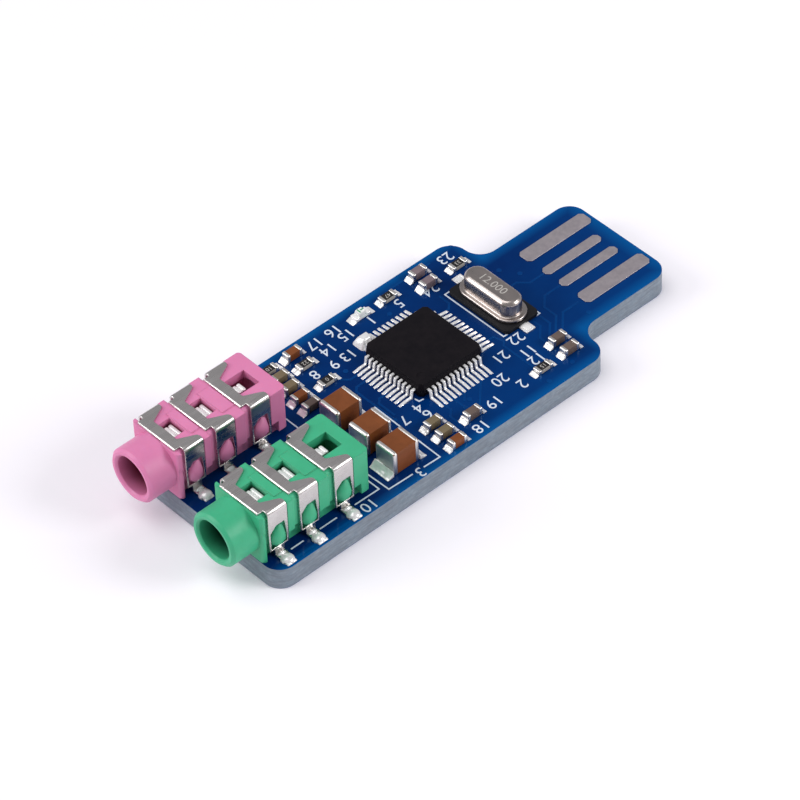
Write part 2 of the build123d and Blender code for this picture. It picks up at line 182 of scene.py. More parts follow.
@dataclass
class Effects:
    """Node groups for effects that more than one finish uses, each built once."""

    broad_scale: float = 900.0
    drift: Two = (0.32, 0.68)
    streak_scale: float = 1000.0
    streak_drift: Two = (0.3, 0.7)

    def __post_init__(self) -> None:
        """Build the groups."""
        self.grain = self.build_grain()
        self.mottle = self.build_mottle()
        self.streak = self.build_streak()

    @staticmethod
    def group(
        name: str, inputs: dict[str, tuple[str, object]], output: tuple[str, str]
    ) -> tuple[Tree, bpy.types.NodeOutputs, Socket]:
        """Make an empty group with its sockets.

        Args:
            name: The group's name.
            inputs: Socket kind and starting value by socket name.
            output: The name and kind of its one output.

        Returns:
            The tree, what the group is given, and the socket that its result goes to.
        """
        group = bpy.data.node_groups.new(name, "ShaderNodeTree")
        tree = Tree(group)
        for label, (kind, value) in inputs.items():
            socket = group.interface.new_socket(
                label, in_out="INPUT", socket_type=f"NodeSocket{kind}"
            )
            if value is not None:
                socket.default_value = value
        group.interface.new_socket(
            output[0], in_out="OUTPUT", socket_type=f"NodeSocket{output[1]}"
        )
        given, result = tree.add("NodeGroupInput"), tree.add("NodeGroupOutput")
        return tree, given.outputs, result.inputs[output[0]]

    def build_grain(self) -> bpy.types.NodeTree:
        """Fine moulded or fired grain as a height from 0 to 1.

        Returns:
            The group.
        """
        tree, given, height = self.group(
            "fine_grain",
            {"Vector": ("Vector", None), "Scale": ("Float", 8000.0), "Waviness": ("Float", 0.3)},
            ("Height", "Float"),
        )
        fine = tree.noise(given["Vector"], given["Scale"], 3.0, 0.6)
        broad = tree.noise(given["Vector"], self.broad_scale, 1.0, 0.5)
        tree.feed(height, tree.blend("FLOAT", given["Waviness"], fine, broad))
        return tree.tree

    def build_mottle(self) -> bpy.types.NodeTree:
        """A colour that drifts between two tones.

        Returns:
            The group.
        """
        tree, given, color = self.group(
            "mottled_color",
            {
                "Vector": ("Vector", None),
                "Color": ("Color", (0.5, 0.5, 0.5, 1.0)),
                "Second": ("Color", (0.4, 0.4, 0.4, 1.0)),
                "Scale": ("Float", 600.0),
            },
            ("Color", "Color"),
        )
        noise = tree.noise(given["Vector"], given["Scale"], 4.0, 0.65)
        share = tree.span(noise, *self.drift)
        tree.feed(color, tree.blend("RGBA", share, given["Color"], given["Second"]))
        return tree.tree

    def build_streak(self) -> bpy.types.NodeTree:
        """Rolling or routing marks, drawn out along the axis with the smallest stretch.

        Returns:
            The group.
        """
        tree, given, value = self.group(
            "drawn_streaks",
            {
                "Vector": ("Vector", None),
                "Stretch": ("Vector", (1.0, 1.0, 1.0)),
                "Low": ("Float", 0.2),
                "High": ("Float", 0.4),
            },
            ("Value", "Float"),
        )
        place = tree.vector("MULTIPLY", given["Vector"], given["Stretch"])
        noise = tree.noise(place, self.streak_scale, 4.0, 0.6)
        tree.feed(value, tree.span(noise, *self.streak_drift, given["Low"], given["High"]))
        return tree.tree


@dataclass(frozen=True)
class Finish:
    """A surface: two close tones, a roughness that varies, and a fine grain."""

    name: str
    color: Three
    second: Three
    roughness: Two = (0.4, 0.5)
    metallic: float = 0.0
    specular: float = 0.5
    gloss: Three = (1.0, 1.0, 1.0)
    mottle: float = 600.0
    stretch: Three = (1.0, 1.0, 1.0)
    grain: float = 6000.0
    waviness: float = 0.3
    grain_depth: float = 0.004
    soft_edge: float = 0.02
    subsurface: float = 0.0
    subsurface_scale: float = 0.6 * MM
    transmission: float = 0.0

    def build(self, effects: Effects) -> bpy.types.Material:
        """Make the material.

        Args:
            effects: The shared node groups.

        Returns:
            The finished material.
        """
        material = bpy.data.materials.new(self.name)
        material.use_nodes = True
        tree = Tree(material.node_tree)
        place = tree.add("ShaderNodeTexCoord").outputs["Object"]
        tones = {"Color": (*self.color, 1.0), "Second": (*self.second, 1.0)}
        mottle = tree.effect(effects.mottle, place, Scale=self.mottle, **tones)
        low, high = self.roughness
        streak = tree.effect(effects.streak, place, Stretch=self.stretch, Low=low, High=high)
        grain = tree.effect(effects.grain, place, Scale=self.grain, Waviness=self.waviness)
        soft = tree.add("ShaderNodeBevel", samples=4, Radius=self.soft_edge * MM)
        bump = tree.add(
            "ShaderNodeBump", Strength=1.0, Distance=self.grain_depth * MM, Height=grain,
            Normal=soft.outputs["Normal"],
        )
        shader = tree.add(
            "ShaderNodeBsdfPrincipled",
            Base_Color=self.tint(tree, place, mottle),
            Roughness=streak,
            Normal=bump.outputs["Normal"],
            Metallic=self.metallic,
            Specular_IOR_Level=self.specular,
            Specular_Tint=(*self.gloss, 1.0),
            Subsurface_Weight=self.subsurface,
            Subsurface_Scale=self.subsurface_scale,
            Transmission_Weight=self.transmission,
        )
        tree.add("ShaderNodeOutputMaterial", Surface=shader.outputs["BSDF"])
        return material

    def tint(self, tree: Tree, place: Socket, color: Socket) -> Socket:
        """Change the colour before it reaches the shader; a plain finish leaves it."""
        return color


@dataclass(frozen=True)
class LaminateFinish(Finish):
    """The routed edge of the board: plies of glass cloth seen end on."""

    ply: Three = (0.155, 0.171, 0.20)
    ply_pitch: float = 0.2 * MM
    ply_stretch: Three = (0.14, 0.14, 1.0)
    ply_drift: Two = (0.35, 0.65)
    ply_share: float = 0.8

    def tint(self, tree: Tree, place: Socket, color: Socket) -> Socket:
        """Lay drawn-out plies over the tone.

        Args:
            tree: The material's tree.
            place: The place on the piece.
            color: The mottled tone.

        Returns:
            The colour with plies.
        """
        drawn = tree.vector("MULTIPLY", place, self.ply_stretch)
        noise = tree.noise(drawn, 1.0 / self.ply_pitch, 6.0, 0.7)
        share = tree.span(noise, *self.ply_drift, 0.0, self.ply_share)
        return tree.blend("RGBA", share, color, (*self.ply, 1.0))


@dataclass(frozen=True)
class MaskFinish(Finish):
    """Solder mask, paler along the board's sides, round the plug and towards its tip."""

    roughness: Two = (0.12, 0.2)
    gloss: Three = (0.2, 0.7, 1.0)
    grain: float = 1500.0
    bare: Three = (0.0, 0.082, 0.29)
    side_y: Two = (8.5 * MM, 9.5 * MM)
    plug_y: Two = (4.9 * MM, 6.0 * MM)
    plug_root: Two = (13.4 * MM, 14.6 * MM)
    tip_x: Two = (23.4 * MM, 24.8 * MM)

    def tint(self, tree: Tree, place: Socket, color: Socket) -> Socket:
        """Lighten the tone towards the board's sides and round the plug.

        Args:
            tree: The material's tree.
            place: The place on the piece.
            color: The mottled tone.

        Returns:
            The colour, paler along the rim.
        """
        parts = tree.add("ShaderNodeSeparateXYZ", place)
        x, y = parts.outputs["X"], tree.math("ABSOLUTE", parts.outputs["Y"])
        plug = tree.math("MULTIPLY", tree.span(y, *self.plug_y), tree.span(x, *self.plug_root))
        sides = tree.math("MAXIMUM", plug, tree.span(y, *self.side_y))
        rim = tree.math("MAXIMUM", sides, tree.span(x, *self.tip_x))
        return tree.blend("RGBA", rim, color, (*self.bare, 1.0))


@dataclass(frozen=True)
class CeramicFinish(Finish):
    """The fired body of a small part."""

    roughness: Two = (0.38, 0.5)
    specular: float = 0.35
    mottle: float = 1200.0
    grain_depth: float = 0.006


@dataclass(frozen=True)
class MouldingFinish(Finish):
    """A moulded housing whose colour is darkened inside its bore by painted shade."""

    roughness: Two = (0.36, 0.5)
    specular: float = 0.4
    soft_edge: float = 0.1
    mottle: float = 300.0
    grain: float = 4000.0
    subsurface: float = 0.06
    # Painted shade in the bore: its colour, then where it fades in, reaches, peaks and thins out
    deep: Three = (0.1, 0.1, 0.1)
    bore_y: float = 0.0
    axis_z: float = 4.7 * MM
    mouth_x: float = -24.8 * MM
    fade: float = 1.7 * MM
    reach: Two = (2.35 * MM, 1.95 * MM)
    share: float = 0.94
    rear: Two = (8.2 * MM, 13.2 * MM)

    def tint(self, tree: Tree, place: Socket, color: Socket) -> Socket:
        """Paint shade near the bore's axis, behind the mouth and less again at the rear.

        Args:
            tree: The material's tree.
            place: The place on the piece.
            color: The mottled tone.

        Returns:
            The colour with painted shade in the bore.
        """
        offset = tree.vector("SUBTRACT", place, (self.mouth_x, self.bore_y, self.axis_z))
        radius = tree.vector("LENGTH", tree.vector("MULTIPLY", offset, (0.0, 1.0, 1.0)))
        depth = tree.add("ShaderNodeSeparateXYZ", offset).outputs["X"]
        front = tree.span(depth, 0.0, self.fade, 0.0, self.share)
        along = tree.math("MULTIPLY", front, tree.span(depth, *self.rear, 1.0, 0.0))
        # How much painted shade covers the tone at this place
        bore_shade_amount = tree.math("MULTIPLY", along, tree.span(radius, *self.reach))
        return tree.blend("RGBA", bore_shade_amount, color, (*self.deep, 1.0))


@dataclass(frozen=True)
class Palette:
    """Every finish on the object."""

    mask: Finish = MaskFinish(
        "blue_solder_mask", (0.0, 0.014, 0.098), (0.0, 0.034, 0.168), specular=0.14,
        mottle=70.0, grain_depth=0.006,
    )
    etched: Finish = MaskFinish(
        "blue_mask_over_copper", (0.0, 0.032, 0.160), (0.0, 0.044, 0.195), specular=0.18,
        mottle=300.0, bare=(0.0, 0.09, 0.31),
    )
    laminate: Finish = LaminateFinish(
        "routed_laminate", (0.20, 0.262, 0.325), (0.29, 0.348, 0.41), (0.5, 0.7),
        mottle=2600.0, stretch=(0.2, 0.2, 3.0), grain_depth=0.03,
    )
    silk: Finish = Finish(
        "white_legend_ink", (0.74, 0.80, 0.88), (0.62, 0.70, 0.80), (0.45, 0.6), grain_depth=0.006,
    )
    contact: Finish = Finish(
        "thin_gold_over_nickel", (0.50, 0.45, 0.47), (0.42, 0.38, 0.41), (0.38, 0.55), 0.8,
        mottle=2500.0, grain=5000.0, grain_depth=0.008,
    )
    # Each housing's third colour is the painted shade inside its bore
    pink: Finish = MouldingFinish(
        "pink_moulding", (0.75, 0.24, 0.45), (0.70, 0.21, 0.41), deep=(0.15, 0.008, 0.026),
        bore_y=4.95 * MM,
    )
    green: Finish = MouldingFinish(
        "green_moulding", (0.055, 0.47, 0.245), (0.045, 0.41, 0.21), deep=(0.0, 0.026, 0.011),
        bore_y=-4.95 * MM,
    )
    sheet: Finish = Finish(
        "tinned_sheet", (0.70, 0.67, 0.65), (0.62, 0.59, 0.57), (0.20, 0.34), 1.0,
        stretch=(0.15, 1.5, 1.5), mottle=500.0, grain=2500.0, grain_depth=0.003,
    )
    solder: Finish = Finish(
        "bright_solder", (0.97, 0.96, 0.95), (0.88, 0.86, 0.86), (0.16, 0.28), 0.3,
        specular=0.9, mottle=1500.0, grain=1400.0, waviness=0.8,
        grain_depth=0.004,
    )
    lead: Finish = Finish(
        "tinned_lead", (1.0, 0.99, 0.98), (0.95, 0.94, 0.94), (0.2, 0.34), 0.25, specular=0.9,
        mottle=1500.0, grain_depth=0.003,
    )
    resin: Finish = Finish(
        "chip_resin", (0.004, 0.003, 0.005), (0.008, 0.006, 0.008), (0.55, 0.7), specular=0.12,
        mottle=1200.0, grain=14000.0, grain_depth=0.010,
    )
    can: Finish = Finish(
        "drawn_nickel_can", (0.50, 0.44, 0.41), (0.42, 0.38, 0.36), (0.22, 0.34), 1.0,
        stretch=(1.5, 0.15, 1.5), mottle=700.0, grain=3500.0, grain_depth=0.004,
    )
    seat: Finish = Finish(
        "black_insulator", (0.006, 0.006, 0.008), (0.010, 0.010, 0.012), (0.4, 0.55), specular=0.25,
    )
    brown: Finish = CeramicFinish(
        "brown_ceramic", (0.225, 0.066, 0.018), (0.18, 0.052, 0.014), specular=0.25,
        mottle=900.0, grain=9000.0,
    )
    olive: Finish = CeramicFinish("olive_ceramic", (0.195, 0.148, 0.085), (0.155, 0.120, 0.068))
    grey: Finish = CeramicFinish("grey_brown_ceramic", (0.142, 0.101, 0.086), (0.112, 0.08, 0.068))
    mauve: Finish = CeramicFinish("mauve_ceramic", (0.215, 0.160, 0.178), (0.17, 0.126, 0.14))
    plating: Finish = Finish(
        "plated_end", (0.86, 0.83, 0.79), (0.78, 0.75, 0.72), (0.30, 0.42), 1.0,
        mottle=1800.0, grain=2500.0, waviness=0.7, grain_depth=0.001,
    )
    glaze: Finish = Finish(
        "dark_glaze", (0.012, 0.011, 0.012), (0.018, 0.016, 0.017), (0.25, 0.4), specular=0.3,
    )
    alumina: Finish = Finish(
        "white_alumina", (0.50, 0.46, 0.40), (0.42, 0.39, 0.34), (0.5, 0.62),
    )
    lamp: Finish = Finish(
        "lamp_body", (0.96, 0.97, 0.95), (0.90, 0.93, 0.90), (0.3, 0.42), subsurface=0.1,
    )
    lens: Finish = Finish(
        "clear_lens", (0.97, 0.98, 0.96), (0.93, 0.96, 0.93), (0.08, 0.14), transmission=0.12,
        grain_depth=0.001,
    )
    mark: Finish = Finish(
        "green_polarity_mark", (0.06, 0.36, 0.17), (0.05, 0.30, 0.14), (0.4, 0.5),
    )
    number: Finish = Finish(
        "pale_number", (0.50, 0.47, 0.44), (0.44, 0.42, 0.39), (0.4, 0.5),
    )

    def build(self, effects: Effects) -> dict[str, bpy.types.Material]:
        """Make every material, by field name."""
        return {name: getattr(self, name).build(effects) for name in self.__dataclass_fields__}


class Bench:
    """The few handlings that every piece goes through."""

    @staticmethod
    def pick(obj: Piece) -> None:
        """Make one object the only selected and active one.

        Args:
            obj: The object.
        """
        for other in bpy.context.scene.objects:
            other.select_set(other == obj)
        bpy.context.view_layer.objects.active = obj

    @staticmethod
    def bring(name: str, data: bpy.types.ID) -> Piece:
        """Put new data on the scene as an object.

        Args:
            name: The object's name.
            data: Its mesh, light or camera.

        Returns:
            The object.
        """
        obj = bpy.data.objects.new(name, data)
        bpy.context.scene.collection.objects.link(obj)
        return obj

    @staticmethod
    def apply_all(obj: Piece) -> None:
        """Apply every modifier in order.

        Args:
            obj: The piece that has them.
        """
        Bench.pick(obj)
        for modifier in list(obj.modifiers):
            bpy.ops.object.modifier_apply(modifier=modifier.name)

    @staticmethod
    def settle(obj: Piece) -> None:
        """Move an object's place, turn and size into its mesh."""
        Bench.pick(obj)
        bpy.ops.object.transform_apply(location=True, rotation=True, scale=True)

    @staticmethod
    @contextmanager
    def opened(obj: Piece, test: Callable[[Vector], bool] | None = None) -> Iterator[None]:
        """Hold an object open in edit mode.

        Args:
            obj: A piece whose place is in its mesh.
            test: Tells from a corner's place whether it is selected; without it, all are.

        Returns:
            What a with statement holds.
        """
        Bench.pick(obj)
        if test:
            for part in (*obj.data.polygons, *obj.data.edges):
                part.select = False
            for vertex in obj.data.vertices:
                vertex.select = test(vertex.co)
        bpy.ops.object.mode_set(mode="EDIT")
        if not test:
            bpy.ops.mesh.select_all(action="SELECT")
        yield
        bpy.ops.object.mode_set(mode="OBJECT")

    @staticmethod
    def ripple(obj: Piece, swell: float, breadth: float = 0.45 * MM) -> None:
        """Make a surface uneven, as frozen solder is.

        Args:
            obj: A finely divided piece.
            swell: How far the unevenness goes.
            breadth: How broad its waves are.
        """
        clouds = bpy.data.textures.new(obj.name, "CLOUDS")
        clouds.noise_scale = breadth
        displace = obj.modifiers.new("uneven", "DISPLACE")
        displace.texture = clouds
        displace.strength = swell
        Bench.apply_all(obj)

    @staticmethod
    def melt(obj: Piece, cell: float, swell: float, softness: int, *breadth: float) -> None:
        """Turn crisp solder into a soft uneven skin.

        Args:
            obj: The solder, in one or more closed lumps.
            cell: The size of the faces of the skin.
            swell: How uneven it is.
            softness: How often the corners are eased.
            *breadth: How broad its waves are, where it isn't the usual breadth.
        """
        skin = obj.modifiers.new("skin", "REMESH")
        skin.mode = "VOXEL"
        skin.voxel_size = cell
        smooth = obj.modifiers.new("soft", "SMOOTH")
        smooth.factor = 0.5
        smooth.iterations = softness
        Bench.ripple(obj, swell, *breadth)
        bpy.ops.object.shade_smooth_by_angle(angle=MELTED)

    @staticmethod
    def join(name: str, parts: list[Piece]) -> Piece:
        """Join finished pieces into one object.

        Args:
            name: The object's name.
            parts: The pieces, with their place in their meshes.

        Returns:
            The joined object.
        """
        Bench.pick(parts[0])
        for part in parts:
            part.select_set(True)
        bpy.ops.object.join()
        parts[0].name = name
        return parts[0]

    @staticmethod
    def round_edges(
        obj: Piece, width: float, segments: int, angle: float = 32.0, tight: bool = False
    ) -> None:
        """Round the sharp edges of a solid and shade it smooth between them.

        Args:
            obj: A welded solid.
            width: How wide the rounding is.
            segments: Faces across it.
            angle: Edges that turn by more than this, in degrees, are rounded.
            tight: Keep the rounding within the shortest edge, for a crowded moulding.
        """
        bevel = obj.modifiers.new("rounded_edges", "BEVEL")
        bevel.width = width
        bevel.segments = segments
        bevel.limit_method = "ANGLE"
        bevel.angle_limit = math.radians(angle)
        bevel.use_clamp_overlap = tight
        Bench.apply_all(obj)
        bpy.ops.object.shade_smooth_by_angle(angle=CRISP)
        flat = obj.modifiers.new("flat_faces", "WEIGHTED_NORMAL")
        flat.keep_sharp = True
        Bench.apply_all(obj)

    @staticmethod
    def sized(size: Three) -> Piece:
        """Draw the solid that was added last out along the axes.

        Args:
            size: How many times longer each axis becomes.

        Returns:
            The solid, with its place in its mesh.
        """
        obj = bpy.context.active_object
        obj.scale = size
        Bench.settle(obj)
        return obj

    @staticmethod
    def block(at: Vector, size: Three) -> Piece:
        """Set a block of some size about a point."""
        bpy.ops.mesh.primitive_cube_add(size=1.0, location=at)
        return Bench.sized(size)

    @staticmethod
    def ball(at: Vector, radii: Three, segments: int, rings: int) -> Piece:
        """Set a ball with a radius for each axis about a point."""
        bpy.ops.mesh.primitive_uv_sphere_add(segments=segments, ring_count=rings, location=at)
        return Bench.sized(radii)

    @staticmethod
    def halve(obj: Piece, at: Vector, side: Three) -> None:
        """Cut a piece through a point, keep one half and close it.

        Args:
            obj: The piece.
            at: The point.
            side: The way to the half that is kept.
        """
        with Bench.opened(obj):
            bpy.ops.mesh.bisect(plane_co=at, plane_no=side, use_fill=True, clear_inner=True)
        bpy.ops.object.shade_smooth_by_angle(angle=SOFT)

    @staticmethod
    def digits(text: str, at: Vector, reading: Reading, height: float, depth: float) -> Piece:
        """Cut a plain number as a solid.

        Args:
            text: The number.
            at: The middle of the number, on the surface that carries it.
            reading: Where it is read from.
            height: Height of the digits.
            depth: How high they stand.

        Returns:
            A mesh with its place in it.
        """
        bpy.ops.object.text_add(location=at, rotation=(0, 0, math.radians(reading.value)))
        number = bpy.context.active_object
        number.data.body = text
        number.data.size = height / DIGIT_SHARE
        number.data.extrude = depth / 2
        number.data.resolution_u = 3
        number.data.align_x = "CENTER"
        number.data.align_y = "CENTER"
        number.location.z += depth / 2
        Bench.pick(number)
        bpy.ops.object.convert(target="MESH")
        Bench.settle(number)
        return number

    @staticmethod
    def dress(obj: Piece, test: Callable[[bpy.types.MeshPolygon], bool]) -> None:
        """Give the faces that pass a test the second finish, and the others the first."""
        for face in obj.data.polygons:
            face.material_index = int(test(face))


@dataclass
class SubAssembly:
    """What every sub-assembly of the board shares."""

    nodes: dict[str, Piece]
    paints: dict[str, bpy.types.Material]
    # Nodes that only have their edges rounded: finish, width and faces of the rounding
    plain: tuple[tuple[str, str, float, int], ...] = ()

    def finish(self, obj: Piece) -> Piece:
        """Fasten a piece to the board's body and report it.

        Args:
            obj: The piece, with its place in its mesh.

        Returns:
            The same piece.
        """
        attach(obj, BODY)
        LOG.info("%s: %d faces", obj.name, len(obj.data.polygons))
        return obj

    def paint(self, obj: Piece, *paints: str) -> None:
        """Give an object its finishes in place of those it has.

        Args:
            obj: The object.
            *paints: The names of its finishes.
        """
        obj.data.materials.clear()
        for paint in paints:
            obj.data.materials.append(self.paints[paint])

    def add_on(self, obj: Piece, name: str, slot: str, paint: str) -> None:
        """Name, paint and fasten a piece that stands for no node of its own.

        Args:
            obj: The piece, with its place in its mesh.
            name: Its name.
            slot: Not used.
            paint: The name of its finish.
        """
        obj.name = name
        self.paint(obj, paint)
        self.finish(obj)

    def stand_in(self, piece: Piece, node: str, *paints: str) -> Piece:
        """Paint a piece, let it stand for a node, and fasten it.

        Args:
            piece: The piece, with its place in its mesh.
            node: The node's name.
            *paints: The names of its finishes.

        Returns:
            The same piece.
        """
        self.paint(piece, *paints)
        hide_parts(node)
        return self.finish(piece)

    def copied(self, node: str) -> Piece:
        """Copy a node's solid, weld its loose triangles and make its flat faces whole.

        Args:
            node: The node's name.

        Returns:
            The welded copy.
        """
        solid = Bench.bring(f"{node}_finished", self.nodes[node].data.copy())
        Bench.pick(solid)
        if solid.data.has_custom_normals:
            bpy.ops.mesh.customdata_custom_splitnormals_clear()
        with Bench.opened(solid):
            bpy.ops.mesh.remove_doubles(threshold=WELD)
            bpy.ops.mesh.dissolve_limited(angle_limit=FLAT)
        return solid

    def build(self) -> None:
        """Finish the nodes that only have their edges rounded."""
        for piece in self.plain:
            self.rounded(*piece)

    def rounded(self, node: str, paint: str, width: float, segments: int = 2) -> Piece:
        """Stand a welded and rounded copy in for a node.

        Args:
            node: The node's name.
            paint: The name of its finish.
            width: How wide its edges are rounded.
            segments: Faces across the rounding.

        Returns:
            The piece that stands for the node.
        """
        piece = self.copied(node)
        Bench.round_edges(piece, width, segments)
        return self.stand_in(piece, node, paint)

    def capped(
        self, node: str, bodies: list[str], band: float, width: float, paint: str = "plating"
    ) -> None:
        """Stand rounded plated ends in for a node of end caps.

        Args:
            node: The node that holds the caps.
            bodies: The nodes of the parts that wear them.
            band: How far a cap reaches along its part.
            width: How wide the caps' edges are rounded.
            paint: The name of their finish.
        """
        caps = Bench.bring(f"{node}_finished", bpy.data.meshes.new(node))
        with Bench.opened(caps):
            for body in bodies:
                low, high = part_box(body)
                size = high - low + 2 * PLATING * Vector((1, 1, 1))
                for end in (low.x - PLATING + band / 2, high.x + PLATING - band / 2):
                    middle = Vector((end, (low.y + high.y) / 2, (low.z + high.z) / 2))
                    bpy.ops.mesh.primitive_cube_add(
                        size=1.0, location=middle, scale=(band, size.y, size.z)
                    )
        Bench.round_edges(caps, width, 4)
        self.stand_in(caps, node, paint)

    def top(self, node: str) -> Vector:
        """The middle of a node's upper face."""
        low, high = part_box(node)
        return Vector(((low.x + high.x) / 2, (low.y + high.y) / 2, high.z))


@dataclass
class Board(SubAssembly):
    """The circuit board with its plug contacts and all that is printed or etched on it."""

    # The edge's rounding, the edges that it takes in degrees, and the slope of the edge's faces
    edge_round: float = 0.06 * MM
    edge_angle: float = 60.0
    edge_slope: float = 0.2
    contact_round: float = 0.03 * MM
    step: float = 0.25
    ink_height: float = 0.02 * MM
    ink_width: float = 0.13 * MM
    digit_height: float = 1.12 * MM
    trace_width: float = 0.22 * MM
    trace_height: float = 0.012 * MM
    via_radius: float = 0.24 * MM
    via_height: float = 0.018 * MM
    via_faces: int = 24
    contacts: tuple[str, ...] = (
        "power_contact", "data_plus_contact", "data_minus_contact", "ground_contact",
    )
    # Plain numbers beside the parts: text, and its middle from the jack end and the board's middle
    numbers: tuple[tuple[str, float, float], ...] = (
        ("1", 24.9, 7.0), ("16", 21.75, 8.2), ("17", 19.65, 8.15), ("15", 22.2, 7.1),
        ("14", 20.0, 6.85), ("13", 20.7, 5.2), ("9", 19.15, 5.2), ("8", 17.2, 5.4),
        ("5", 27.9, 6.85), ("4", 20.6, -3.35), ("6", 20.7, -4.45), ("7", 18.85, -3.65),
        ("3", 15.75, -8.87), ("21", 29.5, -3.75), ("11", 31.6, -4.8), ("12", 31.5, -5.95),
        ("20", 27.6, -5.65), ("2", 28.6, -7.25), ("19", 25.5, -7.2), ("18", 22.8, -8.5),
        ("22", 31.9, -3.05), ("23", 34.4, 8.2), ("24", 30.85, 6.2), ("10", 10.3, -8.75),
    )
    # Outlines in white ink, each a run of points in the same measure
    outlines: tuple[tuple[Two, ...], ...] = (
        ((32.0, 4.9), (31.35, 4.9), (31.35, -2.2), (32.6, -2.2)),
        ((35.46, -0.2), (35.41, -2.25), (34.9, -2.25)),
        ((12.55, -5.6), (12.65, -8.57), (15.1, -8.66)),
        ((16.4, -8.7), (18.05, -8.76), (18.15, -0.9)),
        ((2.7, -8.05), (3.9, -8.05)),
        ((5.8, -8.0), (7.5, -8.0)),
        ((9.6, -7.95), (12.1, -8.0), (12.1, -1.7)),
        ((12.1, 1.4), (12.1, 8.1), (9.8, 8.1)),
        ((21.15, -2.5), (21.2, -2.9), (21.6, -2.95)),
    )
    # Copper under the mask, which stands a little proud of the rest
    traces: tuple[tuple[Two, ...], ...] = (
        ((41.4, 1.0), (37.4, 1.0), (36.6, 1.8), (35.9, 1.8)),
        ((41.4, -1.0), (37.2, -1.0), (36.2, -2.0), (36.2, -3.4), (34.6, -5.0)),
        ((38.6, -3.5), (36.9, -3.5), (35.3, -5.1)),
        ((34.4, -2.6), (34.4, -3.4), (33.4, -4.4), (33.4, -5.0)),
        ((35.2, -2.6), (35.2, -3.7), (34.1, -4.8)),
        ((29.6, -1.6), (30.7, -1.6), (31.0, -2.6), (30.6, -3.0), (30.6, -7.4), (29.9, -8.1)),
        ((19.9, 2.9), (18.9, 2.9), (17.9, 3.9), (17.9, 4.4)),
        ((19.9, 1.9), (18.7, 1.9), (18.3, 1.5), (18.3, -2.9)),
        ((19.9, -0.4), (19.1, -0.4), (18.7, -0.8), (18.7, -2.6)),
        ((22.4, -4.2), (22.4, -5.4), (21.8, -6.0), (21.8, -7.2)),
        ((23.4, -4.2), (23.4, -6.0)),
        ((26.4, -4.2), (26.4, -4.7), (24.4, -6.7)),
        ((24.4, -4.2), (24.4, -4.9), (23.9, -5.4)),
        ((13.3, 4.6), (13.3, 6.2), (12.6, 6.9)),
        ((29.6, 3.4), (30.4, 3.4), (30.9, 3.9), (30.9, 5.0)),
        ((28.6, 8.6), (33.0, 8.6)),
        ((1.2, -9.0), (8.6, -9.0)),
        ((2.2, 0.4), (9.0, 0.4), (10.0, -0.2), (12.6, -0.2)),
    )
    vias: tuple[Two, ...] = (
        (36.6, 3.9), (35.9, 4.9), (37.6, 2.4), (33.3, -8.3), (24.3, -5.6), (23.4, -6.2),
        (18.3, -3.1), (19.3, 3.9), (26.5, 6.4), (30.4, -8.6), (1.3, 0.4), (12.9, 7.2),
        (38.4, -5.0), (22.6, 5.5),
    )

    def place(self, x: float, y: float) -> Vector:
        """A point on the board's upper face, in millimetres from its jack end and its middle."""
        low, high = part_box("circuit_board")
        return Vector((low.x + x * MM, y * MM, high.z))

    def build(self) -> None:
        """Finish the board and everything flat on it."""
        board = self.copied("circuit_board")
        Bench.round_edges(board, self.edge_round, 2, self.edge_angle)
        self.stand_in(board, "circuit_board", "mask", "laminate")
        Bench.dress(board, lambda face: abs(face.normal.z) <= self.edge_slope)
        for name in self.contacts:
            self.rounded(name, "contact", self.contact_round)
        copper = self.ribbon(self.traces, self.trace_width, self.trace_height)
        with Bench.opened(copper):
            for x, y in self.vias:
                middle = self.place(x, y) + Vector((0, 0, self.via_height / 2))
                bpy.ops.mesh.primitive_cylinder_add(
                    vertices=self.via_faces, radius=self.via_radius, depth=self.via_height,
                    location=middle,
                )
        self.add_on(copper, "copper_under_mask", "circuit_board", "etched")
        ink = self.ribbon(self.outlines, self.ink_width, self.ink_height)
        self.add_on(ink, "white_outlines", "circuit_board", "silk")
        numbers = [
            Bench.digits(
                text, self.place(x, y), Reading.FROM_PLUG, self.digit_height, self.ink_height
            )
            for text, x, y in self.numbers
        ]
        ink = Bench.join("white_numbers", numbers)
        self.add_on(ink, "white_numbers", "circuit_board", "silk")

    def ribbon(self, runs: tuple[tuple[Two, ...], ...], width: float, height: float) -> Piece:
        """Lay strokes along runs of points, as one object.

        Args:
            runs: Runs of points on the board.
            width: How wide each stroke is.
            height: How high it stands; every second stroke is higher, so that none coincide.

        Returns:
            The object with all strokes.
        """
        obj = Bench.bring("ribbon", bpy.data.meshes.new("ribbon"))
        with Bench.opened(obj):
            for run in runs:
                points = [self.place(x, y) for x, y in run]
                for index, (start, end) in enumerate(zip(points[:-1], points[1:])):
                    stroke = end - start
                    rise = height * (1.0 + self.step * (index % 2))
                    bpy.ops.mesh.primitive_cube_add(
                        size=1.0,
                        location=(start + end) / 2 + Vector((0, 0, rise / 2)),
                        rotation=(0, 0, math.atan2(stroke.y, stroke.x)),
                        scale=(stroke.length + width, width, rise),
                    )
        return obj


